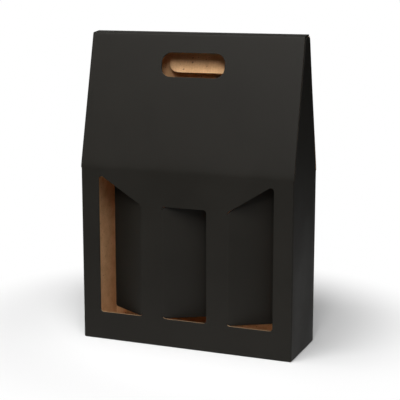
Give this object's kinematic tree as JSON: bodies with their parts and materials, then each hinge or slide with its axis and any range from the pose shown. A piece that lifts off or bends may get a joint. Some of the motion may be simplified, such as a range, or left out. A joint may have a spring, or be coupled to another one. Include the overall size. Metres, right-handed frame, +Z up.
{
  "type": "bottle shipping box",
  "caption": "Folded corrugated carrier box for bottles, with a gable roof that opens as flaps, a hand hole through the roof, and front windows whose cut flaps fold in as dividers.",
  "frame": {"origin": "middle of the bottom, on the surface that the box stands on", "axes": "+Z up, +X along the width to the right seen from the front, the front with the windows looks to -Y"},
  "size_m": [0.27, 0.09, 0.3768],
  "materials": {
    "black_board": "matt black print outside, plain brown kraft inside",
    "kraft_board": "plain brown kraft"
  },
  "bodies": {
    "carton": {"carton_body": "black_board"},
    "front_roof": {"front_roof": "black_board"},
    "back_roof": {"back_roof": "black_board"},
    "hand_flap": {"hand_flap": "black_board"},
    "gable_left": {"gable_left": "black_board"},
    "gable_right": {"gable_right": "black_board"},
    "divider_left": {"divider_left": "black_board"},
    "divider_middle": {"divider_middle": "black_board"},
    "divider_right": {"divider_right": "black_board"}
  },
  "joints": [
    {"name": "front_roof_crease", "type": "hinge", "parent": "carton", "child": "front_roof", "pos_m": [0, -0.045, 0.214], "axis": [1, 0, 0], "range_deg": [0, 150]},
    {"name": "back_roof_crease", "type": "hinge", "parent": "carton", "child": "back_roof", "pos_m": [0, 0.045, 0.214], "axis": [-1, 0, 0], "range_deg": [0, 150]},
    {"name": "hand_flap_crease", "type": "hinge", "parent": "back_roof", "child": "hand_flap", "pos_m": [0, 0.01329, 0.35601], "axis": [-1, 0, 0], "range_deg": [-28, 37]},
    {"name": "gable_left_crease", "type": "hinge", "parent": "carton", "child": "gable_left", "pos_m": [-0.135, 0, 0.214], "axis": [0, -1, 0], "range_deg": [0, 120]},
    {"name": "gable_right_crease", "type": "hinge", "parent": "carton", "child": "gable_right", "pos_m": [0.135, 0, 0.214], "axis": [0, 1, 0], "range_deg": [0, 120]},
    {"name": "divider_left_crease", "type": "hinge", "parent": "carton", "child": "divider_left", "pos_m": [-0.0545, -0.0435, 0.1], "axis": [0, 0, -1], "range_deg": [-30, 60]},
    {"name": "divider_middle_crease", "type": "hinge", "parent": "carton", "child": "divider_middle", "pos_m": [-0.0285, -0.0435, 0.1], "axis": [0, 0, 1], "range_deg": [-29, 61]},
    {"name": "divider_right_crease", "type": "hinge", "parent": "carton", "child": "divider_right", "pos_m": [0.0545, -0.0435, 0.1], "axis": [0, 0, 1], "range_deg": [-30, 60]}
  ]
}
